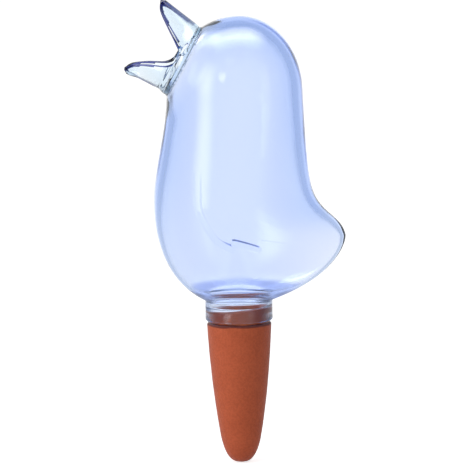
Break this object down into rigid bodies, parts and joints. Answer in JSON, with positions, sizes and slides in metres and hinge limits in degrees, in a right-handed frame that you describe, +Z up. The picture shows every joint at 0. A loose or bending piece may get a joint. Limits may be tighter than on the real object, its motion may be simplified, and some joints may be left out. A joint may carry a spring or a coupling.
{
  "type": "terracotta watering spike with reservoir",
  "caption": "Hollow clay cone that waters a pot plant from a clear bird-shaped reservoir, filled through the bird's open beak.",
  "frame": {"origin": "on the spike's axis at its shoulder, which is the soil line", "axes": "+Z up along the spike's axis, +X towards the bird's tail, the beak towards -X, +Y towards the bird's far side"},
  "size_m": [0.0888, 0.057, 0.1911],
  "materials": {
    "fired_clay": "matte unglazed fired clay",
    "clear_silicone": "clear soft silicone",
    "blue_clear_plastic": "glossy transparent pale blue",
    "clear_plastic": "glossy transparent, nearly colourless",
    "clear_adhesive": "clear set adhesive"
  },
  "bodies": {
    "spike": {"terracotta_spike": "fired_clay"},
    "seal": {"neck_seal": "clear_silicone"},
    "reservoir": {"reservoir_shell": "blue_clear_plastic", "beak_spout": "clear_plastic", "beak_bond_bead": "clear_adhesive"}
  },
  "joints": [
    {"name": "reservoir_pull_off", "type": "slide", "parent": "spike", "child": "seal", "axis": [0, 0, 1], "range_m": [0, 0.025]},
    {"name": "reservoir_twist", "type": "hinge", "parent": "seal", "child": "reservoir", "pos_m": [0, 0, 0], "axis": [0, 0, 1], "continuous": true}
  ]
}
